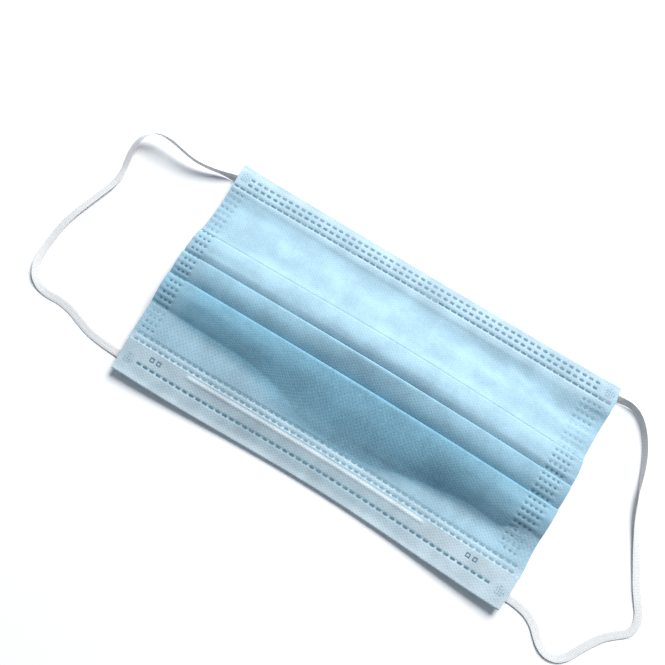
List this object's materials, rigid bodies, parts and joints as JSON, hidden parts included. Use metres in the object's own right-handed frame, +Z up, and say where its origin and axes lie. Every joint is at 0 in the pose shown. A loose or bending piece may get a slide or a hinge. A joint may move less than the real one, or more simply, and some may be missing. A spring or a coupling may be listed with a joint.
{
  "type": "surgical face mask",
  "caption": "Rectangular pleated surgical face mask of blue non-woven cloth with a pale nose hem over a flat wire and a white elastic ear loop at each side, lying front side up.",
  "frame": {"origin": "on the surface that the mask lies on, under the middle of its body, ear loops left out", "axes": "+X along the mask's width, from the picture's upper left to its lower right, +Y to the chin edge, -Y to the nose edge, +Z up and away from the wearer"},
  "size_m": [0.278, 0.1036, 0.0125],
  "materials": {
    "blue_cloth": "matte point-bonded non-woven",
    "pale_cloth": "matte white non-woven over blue",
    "wire_plastic": "smooth white coating",
    "elastic": "knitted flat elastic"
  },
  "bodies": {
    "root": {"pleated_body": "blue_cloth", "nose_hem": "pale_cloth", "nose_wire": "wire_plastic", "ear_loop_left": "elastic", "ear_loop_right": "elastic"}
  },
  "joints": []
}
